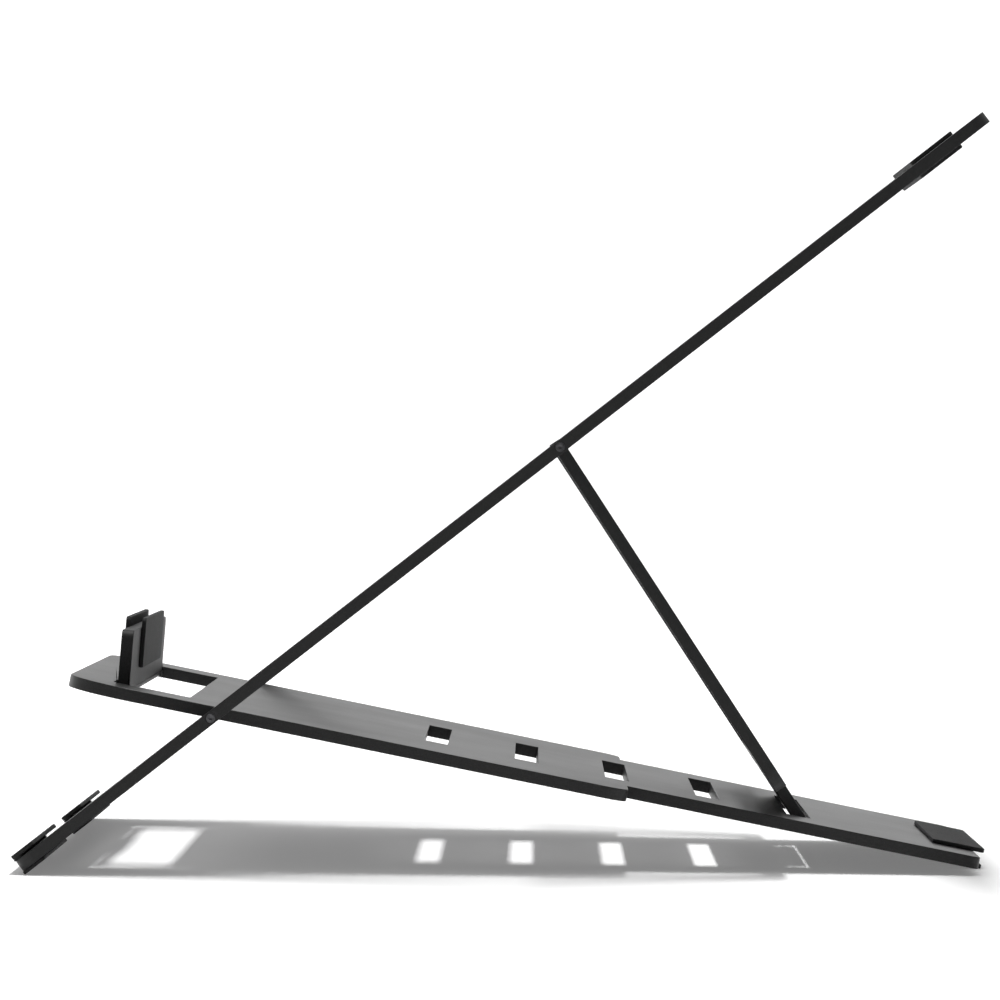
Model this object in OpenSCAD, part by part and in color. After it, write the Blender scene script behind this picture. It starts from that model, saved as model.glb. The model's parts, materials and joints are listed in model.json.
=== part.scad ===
// Folding laptop stand: a ring-shaped frame, a slotted base plate, a two-legged strut and a flip-up stop.
// Row frame: +Z up, X along the stand, the laptop faces -X, Y across; symmetric about the plane Y = 0.

/* [Plates] */
// Thickness of every metal plate
plate_t = 3.3; // [3:0.1:3.6]
// Angle between the frame and the base plate in use
open_angle = 49.3; // [46:0.1:52]

/* [Frame] */
// Overall width of the frame
frame_w = 230; // [226:1:240]
// Frame length above the main pivot
frame_up = 260.5; // [259.4:0.1:266]
// Frame length below the main pivot
frame_down = 64.6; // [64.2:0.1:70]
// Width of the frame's upper cross bar
top_bar_l = 17.4; // [14:0.1:17.4]
// Width of the frame's lower cross bar
bottom_bar_l = 21.4; // [20:0.1:21.8]

/* [Base plate] */
// Width of the wide part of the base plate
base_w = 173; // [172:0.5:173]
// Width of the narrow rear part of the base plate
rear_w = 130; // [124:1:131]
// Length of the nose in front of the main pivot
nose_l = 42; // [40:0.1:42.4]
// Distance from the main pivot to the step in width
step_u = 113.2; // [112:0.1:113.5]
// Distance from the main pivot to the rear end
rear_u = 212; // [211:0.1:212.5]
// Distance from the main pivot to the centre of the first slot
first_slot_u = 59.2; // [58.5:0.1:59.5]
// Distance between slot centres
slot_pitch = 25.75; // [25.7:0.05:25.8]
// Opening of a slot along the base plate
slot_l = 6.7; // [6.6:0.1:7]
// Opening of a slot across the base plate
slot_w = 84; // [82:1:90]

/* [Strut] */
// Distance along the frame from the main pivot to the strut pivot
strut_at = 117.2; // [117:0.1:118]
// Width of one strut leg
leg_w = 20; // [18:0.5:20]
// Width of the strut's tongue and rubber shoe
tongue_w = 80; // [76:1:80]

/* [Stop flap] */
// Width of the stop flap
flap_w = 133; // [120:1:133]
// Height of the stop flap above its hinge
flap_h = 16.4; // [14:0.1:16.6]
// Angle between the opened flap and the base plate
flap_angle = 96.9; // [90:0.1:100]

/* [Hidden] */
$fn = 64;
near = -1;
far = 1;

// Frame
side_gap = 1;
opening_w = base_w + 2 * side_gap;
side_bar_w = (frame_w - opening_w) / 2;
frame_corner_r = 5;
opening_corner_r = 3;

// Base plate
slots = 5;
slot_corner_r = 0.8;
nose_corner_r = 18;
step_corner_r = 6;
rear_corner_r = 2.5;
hinge_u = -27.3;
window_front_u = -30.2;
window_rear_u = -9;
window_w = 134;

// Stop flap
flap_corner_r = 2.5;
flap_edge_r = 0.5;

// Strut, measured along it from its own pivot
stub_l = 1.9;
cross_l = 103.8;
shoulder_l = 110.4;
blade_l = 114.2;
shoe_l = 124.4;
blade_t = 2;
blade_w = tongue_w - 4;
shoulder_corner_r = 6;
foot_past_centre = 1.5;

// Screws, pins and washers
screw_r = 0.8;
head_r = 1.25;
head_l = 0.9;
head_clear = 0.1;
run_clear = 0.06;
thread_l = 12;
socket_r = 0.6;
socket_l = 0.5;
washer_r = 1.5;
washer_t = 0.8;
pin_r = 0.8;
pin_in_base = 8;
pin_in_flap = 6;

// Rubber pads
pad_t = 1.2;
foot_t = 1.0;
pad_corner_r = 1.5;
top_pad_from = 243.1;
top_pad_l = 14.4;
top_pad_w = 78;
rear_pad_from = 200.4;
rear_pad_l = 14.6;
rear_pad_w = 78;
grip_w = 72;
grip_inset = 1;
foot_l = 7;
riser_l = 3.2;
riser_t = 0.6;
grip_l = 6.9;
flap_pad_w = 74;
flap_pad_from = 5.1;
flap_pad_to = 19.1;

// Where the pieces meet, as [along, above] in the base plate's own plane
strut_pivot = turned([strut_at, 0], open_angle);
foot_u = first_slot_u + (slots - 1) * slot_pitch + foot_past_centre;
strut_angle = atan2(strut_pivot[1], foot_u - strut_pivot[0]);

// The stand rests on the frame's front feet and the base plate's rear foot
front_contact = turned([-frame_down, -plate_t / 2 - foot_t], open_angle);
rear_contact = [rear_pad_from + rear_pad_l, -plate_t / 2 - pad_t];
tilt = -atan2(rear_contact[1] - front_contact[1], rear_contact[0] - front_contact[0]);
pivot_height = -turned(rear_contact, tilt)[1];
frame_front_top = turned([-frame_down, plate_t / 2 + riser_t + pad_t], open_angle);
rear_pad_top = [rear_contact[0], plate_t / 2 + pad_t];
low_x = turned(frame_front_top, tilt)[0];
high_x = turned(rear_pad_top, tilt)[0];

function turned(p, a) = [p[0] * cos(a) - p[1] * sin(a), p[0] * sin(a) + p[1] * cos(a)];

// Placement: the base plate's plane in the row frame, then each moving piece in that plane
module in_base() {
    translate([-(low_x + high_x) / 2, 0, pivot_height]) rotate([0, -tilt, 0]) children();
}

module in_frame() {
    in_base() rotate([0, -open_angle, 0]) children();
}

module in_strut() {
    in_base() translate([strut_pivot[0], 0, strut_pivot[1]]) rotate([0, strut_angle, 0]) children();
}

module in_flap() {
    in_base() translate([hinge_u, 0, 0]) rotate([0, -flap_angle, 0]) children();
}

// Shapes that repeat
module outline(from, to, width, r_from, r_to) {
    middle = (from + to) / 2;
    for (side = [near, far]) {
        translate([from + r_from, side * (width / 2 - r_from)]) circle(r = r_from);
        translate([to - r_to, side * (width / 2 - r_to)]) circle(r = r_to);
    }
    translate([from, -width / 2 + r_from]) square([middle - from, width - 2 * r_from]);
    translate([middle, -width / 2 + r_to]) square([to - middle, width - 2 * r_to]);
    translate([from + r_from, -width / 2]) square([to - r_to - from - r_from, width]);
}

module plate() {
    translate([0, 0, -plate_t / 2]) linear_extrude(plate_t) children();
}

module pad(from, length, width, thickness, above, side_offset = 0) {
    translate([0, side_offset, above]) linear_extrude(thickness)
        outline(from, from + length, width, pad_corner_r, pad_corner_r);
}

// A rod along Y that starts at the given y and runs towards the middle of the stand
module rod(side, from_y, length, r) {
    translate([0, side * from_y, 0]) rotate([side * 90, 0, 0]) cylinder(r = r, h = length);
}

module screw(side) {
    difference() {
        union() {
            rod(side, frame_w / 2 - head_clear, head_l, head_r);
            rod(side, frame_w / 2 - head_clear, side_bar_w + side_gap + thread_l, screw_r);
        }
        translate([0, side * (frame_w / 2), 0]) rotate([side * 90, 0, 0])
            cylinder(r = socket_r, h = head_clear + socket_l, $fn = 6);
    }
}

module screw_way(side) {
    rod(side, frame_w / 2 + 1, side_bar_w + 2, screw_r + run_clear);
    rod(side, frame_w / 2 + 1, 1 + head_l + 2 * head_clear, head_r + run_clear);
}

module washer(side) {
    difference() {
        rod(side, opening_w / 2 - (side_gap - washer_t) / 2, washer_t, washer_r);
        rod(side, opening_w / 2 + 1, 3, screw_r + run_clear);
    }
}

// Base body
module base_plate() {
    color("#2b2b2c") in_base() difference() {
        plate() difference() {
            union() {
                outline(-nose_l, step_u, base_w, nose_corner_r, step_corner_r);
                outline(0, rear_u, rear_w, rear_corner_r, rear_corner_r);
            }
            outline(window_front_u, window_rear_u, window_w, slot_corner_r, slot_corner_r);
            for (i = [0 : slots - 1])
                outline(
                    first_slot_u + i * slot_pitch - slot_l / 2,
                    first_slot_u + i * slot_pitch + slot_l / 2,
                    slot_w, slot_corner_r, slot_corner_r
                );
        }
        for (side = [near, far]) {
            rod(side, base_w / 2 + 1, thread_l + 2, screw_r);
            translate([hinge_u, 0, 0])
                rod(side, window_w / 2 + pin_in_base, pin_in_base + 1, pin_r);
        }
    }
}

module rear_pad_upper() {
    color("#3c3c3e") in_base() pad(rear_pad_from, rear_pad_l, rear_pad_w, pad_t, plate_t / 2);
}

module rear_foot() {
    color("#3c3c3e") in_base() pad(rear_pad_from, rear_pad_l, rear_pad_w, pad_t, -plate_t / 2 - pad_t);
}

module flap_pin(side) {
    color("#55565a") in_base() translate([hinge_u, 0, 0])
        rod(side, window_w / 2 + pin_in_base, pin_in_base + pin_in_flap, pin_r);
}

module pivot_screw(side) {
    color("#55565a") in_base() screw(side);
}

module pivot_washer(side) {
    color("#8a8b8f") in_base() washer(side);
}

// Frame body
module frame_ring() {
    color("#262627") in_frame() difference() {
        plate() difference() {
            outline(-frame_down, frame_up, frame_w, frame_corner_r, frame_corner_r);
            outline(
                -frame_down + bottom_bar_l, frame_up - top_bar_l,
                opening_w, opening_corner_r, opening_corner_r
            );
        }
        for (side = [near, far]) {
            screw_way(side);
            translate([strut_at, 0, 0]) screw_way(side);
        }
    }
}

module top_pad(above) {
    color("#3c3c3e") in_frame() pad(top_pad_from, top_pad_l, top_pad_w, pad_t, above);
}

// A pad on one side of the frame's lower cross bar, flush with its front end
module front_pad(side, length, thickness, above) {
    offset_y = side * (frame_w / 2 - grip_inset - grip_w / 2);
    color("#3c3c3e") in_frame() pad(-frame_down, length, grip_w, thickness, above, offset_y);
}

module front_foot(side) {
    front_pad(side, foot_l, foot_t, -plate_t / 2 - foot_t);
}

module grip_riser(side) {
    front_pad(side, riser_l, riser_t, plate_t / 2);
}

module grip(side) {
    front_pad(side, grip_l, pad_t, plate_t / 2 + riser_t);
}

// Strut body
module strut() {
    color("#262627") in_strut() difference() {
        union() {
            plate() difference() {
                outline(-stub_l, shoulder_l, base_w, 0.5, shoulder_corner_r);
                translate([-stub_l - 1, -base_w / 2 + leg_w])
                    square([stub_l + 1 + cross_l, base_w - 2 * leg_w]);
            }
            translate([shoulder_l - 1, -blade_w / 2, -blade_t / 2])
                cube([blade_l - shoulder_l + 1, blade_w, blade_t]);
        }
        for (side = [near, far])
            rod(side, base_w / 2 + 1, thread_l + 2, screw_r);
    }
}

module strut_shoe() {
    color("#1c1c1d") in_strut() difference() {
        plate() outline(shoulder_l, shoe_l, tongue_w, pad_corner_r, pad_corner_r);
        translate([shoulder_l - 1, -blade_w / 2, -blade_t / 2])
            cube([blade_l - shoulder_l + 1, blade_w, blade_t]);
    }
}

module strut_screw(side) {
    color("#55565a") in_strut() screw(side);
}

module strut_washer(side) {
    color("#8a8b8f") in_strut() washer(side);
}

// Flap body
module stop_flap() {
    color("#333334") in_flap() difference() {
        union() {
            plate() outline(0, flap_h, flap_w, flap_edge_r, flap_corner_r);
            rod(near, flap_w / 2, flap_w, plate_t / 2);
        }
        for (side = [near, far])
            rod(side, flap_w / 2 + 1, pin_in_flap + 1.5, pin_r + run_clear);
    }
}

module flap_pad(above) {
    color("#3c3c3e") in_flap() pad(flap_pad_from, flap_pad_to - flap_pad_from, flap_pad_w, pad_t, above);
}

base_plate();
rear_pad_upper();
rear_foot();
flap_pin(near);  // flap_pin_near
flap_pin(far);  // flap_pin_far
pivot_screw(near);  // pivot_screw_near
pivot_screw(far);  // pivot_screw_far
pivot_washer(near);  // pivot_washer_near
pivot_washer(far);  // pivot_washer_far
frame_ring();
top_pad(plate_t / 2);  // top_pad_upper
top_pad(-plate_t / 2 - pad_t);  // top_pad_lower
front_foot(near);  // front_foot_near
front_foot(far);  // front_foot_far
grip_riser(near);  // grip_riser_near
grip_riser(far);  // grip_riser_far
grip(near);  // grip_near
grip(far);  // grip_far
strut();
strut_shoe();
strut_screw(near);  // strut_screw_near
strut_screw(far);  // strut_screw_far
strut_washer(near);  // strut_washer_near
strut_washer(far);  // strut_washer_far
stop_flap();
flap_pad(plate_t / 2);  // flap_pad_front
flap_pad(-plate_t / 2 - pad_t);  // flap_pad_rear
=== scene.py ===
"""Looks of the folding laptop stand: black powder-coated plates, rubber pads, a pale floor and soft light."""

import json
import math

import bpy
from mathutils import Matrix, Vector


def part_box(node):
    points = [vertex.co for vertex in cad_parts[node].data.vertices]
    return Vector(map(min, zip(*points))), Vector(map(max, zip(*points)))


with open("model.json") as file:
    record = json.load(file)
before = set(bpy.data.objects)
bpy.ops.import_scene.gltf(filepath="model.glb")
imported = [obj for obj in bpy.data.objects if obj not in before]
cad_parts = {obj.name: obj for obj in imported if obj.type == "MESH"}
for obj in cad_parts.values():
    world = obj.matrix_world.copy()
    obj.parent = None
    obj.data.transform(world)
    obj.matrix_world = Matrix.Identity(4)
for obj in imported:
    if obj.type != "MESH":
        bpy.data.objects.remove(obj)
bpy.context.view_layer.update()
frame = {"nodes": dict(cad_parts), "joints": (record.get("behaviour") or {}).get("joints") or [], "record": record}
nodes = frame["nodes"]
record = frame["record"]
scene = bpy.context.scene
scene.view_settings.view_transform = "Standard"

MM = 0.001
slot_of = {part["node"]: part["material_slot"] for part in record["subparts"]}
joint_at = {j["name"]: Vector(j["pos_m"]) for j in frame["joints"]}


# ---------------------------------------------------------------- camera

CAMERA_DISTANCE = 1.5
CAMERA_LENS = 200.0
CAMERA_ROLL = math.radians(0.88)
CAMERA_SHIFT = (-0.036, -0.0475)
FROM_PIVOT = Vector((0.0851, 0.0, 0.0717))


def add_camera():
    """A level view along +Y from beyond the base plate's near edge, rolled slightly against the floor."""
    data = bpy.data.cameras.new("camera")
    data.lens = CAMERA_LENS
    data.shift_x, data.shift_y = CAMERA_SHIFT
    data.clip_end = 20.0
    camera = bpy.data.objects.new("camera", data)
    scene.collection.objects.link(camera)
    base_near_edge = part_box("base_plate")[0].y
    place = joint_at["frame_fold"] + FROM_PIVOT
    place.y = base_near_edge - CAMERA_DISTANCE
    level = Matrix.Rotation(math.pi / 2, 4, "X")
    camera.matrix_world = Matrix.Translation(place) @ level @ Matrix.Rotation(CAMERA_ROLL, 4, "Z")
    scene.camera = camera


# ---------------------------------------------------------------- materials

# How fine each noise is, in features per metre
COAT_GRAIN = 2600.0
COAT_PEEL = 520.0
COAT_CLOUD = 28.0
RUBBER_GRAIN = 3200.0
RUBBER_BLOOM = 60.0
STEEL_WEAR = 900.0
NYLON_MOTTLE = 700.0

# Where the noise is spread from: few of its values lie outside these
NOISE_LOW = 0.3
NOISE_HIGH = 0.7


class Nodes:
    """Short names for adding and linking shader nodes."""

    def __init__(self, name):
        self.material = bpy.data.materials.new(name)
        self.material.use_nodes = True
        self.tree = self.material.node_tree
        self.shader = self.tree.nodes["Principled BSDF"]
        self.place = self.add("ShaderNodeTexCoord").outputs["Object"]

    def add(self, kind, **inputs):
        node = self.tree.nodes.new(kind)
        for name, value in inputs.items():
            node.inputs[name.replace("_", " ")].default_value = value
        return node

    def link(self, source, target):
        self.tree.links.new(source, target)

    def noise(self, scale, detail, roughness=0.5):
        node = self.add("ShaderNodeTexNoise", Scale=scale, Detail=detail, Roughness=roughness)
        self.link(self.place, node.inputs["Vector"])
        return node.outputs["Fac"]

    def spread(self, source, low, high, from_low=NOISE_LOW, from_high=NOISE_HIGH):
        node = self.add("ShaderNodeMapRange")
        node.inputs["From Min"].default_value = from_low
        node.inputs["From Max"].default_value = from_high
        node.inputs["To Min"].default_value = low
        node.inputs["To Max"].default_value = high
        self.link(source, node.inputs["Value"])
        return node.outputs["Result"]

    def colours(self, source, dark, light):
        ramp = self.add("ShaderNodeValToRGB")
        ramp.color_ramp.elements[0].position = NOISE_LOW
        ramp.color_ramp.elements[1].position = NOISE_HIGH
        ramp.color_ramp.elements[0].color = (*dark, 1.0)
        ramp.color_ramp.elements[1].color = (*light, 1.0)
        self.link(source, ramp.inputs["Fac"])
        self.link(ramp.outputs["Color"], self.shader.inputs["Base Color"])

    def bump(self, source, strength, distance, under=None):
        node = self.add("ShaderNodeBump", Strength=strength, Distance=distance)
        self.link(source, node.inputs["Height"])
        if under is not None:
            self.link(under, node.inputs["Normal"])
        self.link(node.outputs["Normal"], self.shader.inputs["Normal"])
        return node.outputs["Normal"]


def scaled(colour, factor):
    """The same hue, lighter or darker."""
    return tuple(min(1.0, c * factor) for c in colour)


def powder_coat(name, colour, roughness, shine):
    """Fine pebbled powder coat: a tight grain, a slower orange peel, and slightly uneven gloss."""
    m = Nodes(name)
    grain = m.noise(COAT_GRAIN, 3.0, 0.6)
    peel = m.noise(COAT_PEEL, 1.0)
    cloud = m.noise(COAT_CLOUD, 3.0)
    m.colours(grain, scaled(colour, 0.78), scaled(colour, 1.3))
    m.link(m.spread(cloud, roughness - 0.015, roughness + 0.02), m.shader.inputs["Roughness"])
    under = m.bump(peel, 0.10, 0.10 * MM)
    m.bump(grain, 0.28, 0.05 * MM, under)
    m.shader.inputs["Specular IOR Level"].default_value = shine
    return m.material


def rubber(name, colour, roughness, shine):
    """Matt rubber with a fine moulded grain and a faint dusty bloom."""
    m = Nodes(name)
    grain = m.noise(RUBBER_GRAIN, 2.0, 0.7)
    bloom = m.noise(RUBBER_BLOOM, 4.0)
    m.colours(bloom, scaled(colour, 0.85), scaled(colour, 1.2))
    m.link(m.spread(grain, roughness - 0.06, roughness + 0.06), m.shader.inputs["Roughness"])
    m.bump(grain, 0.35, 0.04 * MM)
    m.shader.inputs["Specular IOR Level"].default_value = shine
    return m.material


def blackened_steel(name, colour):
    """Dark oxidised metal, a little lighter and rougher where it is worn."""
    m = Nodes(name)
    wear = m.noise(STEEL_WEAR, 3.0)
    m.colours(wear, scaled(colour, 0.8), scaled(colour, 1.5))
    m.link(m.spread(wear, 0.26, 0.40), m.shader.inputs["Roughness"])
    m.bump(wear, 0.15, 0.02 * MM)
    m.shader.inputs["Metallic"].default_value = 0.9
    return m.material


def nylon(name, colour):
    """Plain matt plastic with a faint mottle."""
    m = Nodes(name)
    mottle = m.noise(NYLON_MOTTLE, 2.0)
    m.colours(mottle, scaled(colour, 0.9), scaled(colour, 1.1))
    m.link(m.spread(mottle, 0.45, 0.55), m.shader.inputs["Roughness"])
    return m.material


materials = {
    "base_metal": powder_coat("base_coat", (0.020, 0.020, 0.0202), 0.36, 0.19),
    "frame_metal": powder_coat("frame_coat", (0.017, 0.017, 0.0172), 0.38, 0.18),
    "flap_metal": powder_coat("flap_coat", (0.018, 0.018, 0.0182), 0.48, 0.09),
    "fastener_steel": blackened_steel("black_steel", (0.07, 0.07, 0.073)),
    "washer": nylon("nylon", (0.12, 0.12, 0.12)),
    "shoe_rubber": rubber("shoe_rubber", (0.026, 0.026, 0.0262), 0.45, 0.22),
    "pad_rubber": rubber("pad_rubber", (0.021, 0.021, 0.0213), 0.60, 0.07),
}

# ---------------------------------------------------------------- CAD nodes

# Radius of the rounds; the frame's is less because its screws leave only 0.34 mm of plate beside them
EDGE_ROUND = {
    "base_metal": 0.22 * MM,
    "frame_metal": 0.14 * MM,
    "flap_metal": 0.25 * MM,
    "fastener_steel": 0.06 * MM,
    "washer": 0.05 * MM,
    "shoe_rubber": 0.35 * MM,
    "pad_rubber": 0.28 * MM,
}
WELD_WITHIN = 0.002 * MM
FLAT_WITHIN = math.radians(0.5)
SHARP_FROM = math.radians(40)


def dress(node, name):
    """Give a CAD node its finish and a small round on its sharp edges."""
    slot = slot_of[name]
    node.data.materials.clear()
    node.data.materials.append(materials[slot])
    weld = node.modifiers.new("weld", "WELD")
    weld.merge_threshold = WELD_WITHIN
    flat = node.modifiers.new("flat", "DECIMATE")
    flat.decimate_type = "DISSOLVE"
    flat.angle_limit = FLAT_WITHIN
    bevel = node.modifiers.new("edge_round", "BEVEL")
    bevel.width = EDGE_ROUND[slot]
    bevel.segments = 3
    bevel.limit_method = "ANGLE"
    bevel.angle_limit = SHARP_FROM
    bevel.use_clamp_overlap = False
    normals = node.modifiers.new("normals", "WEIGHTED_NORMAL")
    normals.keep_sharp = False


for node_name, node in nodes.items():
    dress(node, node_name)


# ---------------------------------------------------------------- floor and light

FLOOR_HALF = 6.0
SWEEP_START = 4.0
SWEEP_RADIUS = 0.8
SWEEP_STEPS = 16
WALL_TOP = 1.1
WHITE = (1.0, 1.0, 1.0, 1.0)
PAPER = (0.86, 0.86, 0.86, 1.0)
# The floor's own glow: GLOW_NEAR is a painted glow under and near the stand that lightens its shadow, rising to
# GLOW_FAR away from it
GLOW_NEAR = 0.18
GLOW_FAR = 0.8
GLOW_CENTRE = (0.0, -0.8, 0.0)
GLOW_FROM = 1.15
GLOW_FULL = 2.3
WORLD_FRONT = 0.12
WORLD_BACK = 0.66
LAMP_PLACE = (0.05, 0.0, 1.5)
LAMP_SIZE = (0.11, 1.1)
LAMP_POWER = 24.0
CEILING_PLACE = (0.0, 0.0, 2.2)
CEILING_SIZE = (2.6, 2.6)
CEILING_POWER = 7.0


def add_floor():
    """A pale floor that sweeps up behind the stand and glows by itself, faintly under the stand and brighter away
    from it: a painted glow that lightens the stand's shadow.
    """
    profile = [(-FLOOR_HALF, 0.0), (SWEEP_START, 0.0)]
    for i in range(1, SWEEP_STEPS + 1):
        a = math.pi / 2 * i / SWEEP_STEPS
        profile.append((SWEEP_START + SWEEP_RADIUS * math.sin(a), SWEEP_RADIUS * (1 - math.cos(a))))
    profile.append((SWEEP_START + SWEEP_RADIUS, WALL_TOP))
    verts = [(x, y, z) for y, z in profile for x in (-FLOOR_HALF, FLOOR_HALF)]
    faces = [(2 * i, 2 * i + 1, 2 * i + 3, 2 * i + 2) for i in range(len(profile) - 1)]
    mesh = bpy.data.meshes.new("floor")
    mesh.from_pydata(verts, [], faces)
    for face in mesh.polygons:
        face.use_smooth = True
    floor = bpy.data.objects.new("floor", mesh)
    scene.collection.objects.link(floor)
    m = Nodes("floor_paper")
    m.shader.inputs["Base Color"].default_value = PAPER
    m.shader.inputs["Roughness"].default_value = 0.9
    m.shader.inputs["Specular IOR Level"].default_value = 0.05
    m.shader.inputs["Emission Color"].default_value = WHITE
    away = m.add("ShaderNodeVectorMath")
    away.operation = "DISTANCE"
    away.inputs[1].default_value = GLOW_CENTRE
    m.link(m.place, away.inputs[0])
    # Painted glow: the floor emits light, faint near the stand, where it lightens the shadow, and stronger away
    # from it
    glow = m.spread(away.outputs["Value"], GLOW_NEAR, GLOW_FAR, GLOW_FROM, GLOW_FULL)
    m.link(glow, m.shader.inputs["Emission Strength"])
    mesh.materials.append(m.material)


def add_lamp(name, place, size, power):
    """A rectangular lamp that faces straight down, as an area light does unturned."""
    data = bpy.data.lights.new(name, "AREA")
    data.shape = "RECTANGLE"
    data.size, data.size_y = size
    data.energy = power
    lamp = bpy.data.objects.new(name, data)
    lamp.location = place
    scene.collection.objects.link(lamp)


def add_world():
    """White light that is dimmer on the camera's side, so that the edges facing it stay black."""
    world = bpy.data.worlds.new("studio")
    world.use_nodes = True
    tree = world.node_tree
    background = tree.nodes["Background"]
    background.inputs["Color"].default_value = WHITE
    split = tree.nodes.new("ShaderNodeSeparateXYZ")
    tree.links.new(tree.nodes.new("ShaderNodeTexCoord").outputs["Generated"], split.inputs["Vector"])
    level = tree.nodes.new("ShaderNodeMapRange")
    level.inputs["From Min"].default_value = -1.0
    level.inputs["From Max"].default_value = 1.0
    level.inputs["To Min"].default_value = WORLD_FRONT
    level.inputs["To Max"].default_value = WORLD_BACK
    tree.links.new(split.outputs["Y"], level.inputs["Value"])
    tree.links.new(level.outputs["Result"], background.inputs["Strength"])
    scene.world = world


add_camera()
add_floor()
add_world()
add_lamp("overhead", LAMP_PLACE, LAMP_SIZE, LAMP_POWER)
add_lamp("ceiling", CEILING_PLACE, CEILING_SIZE, CEILING_POWER)
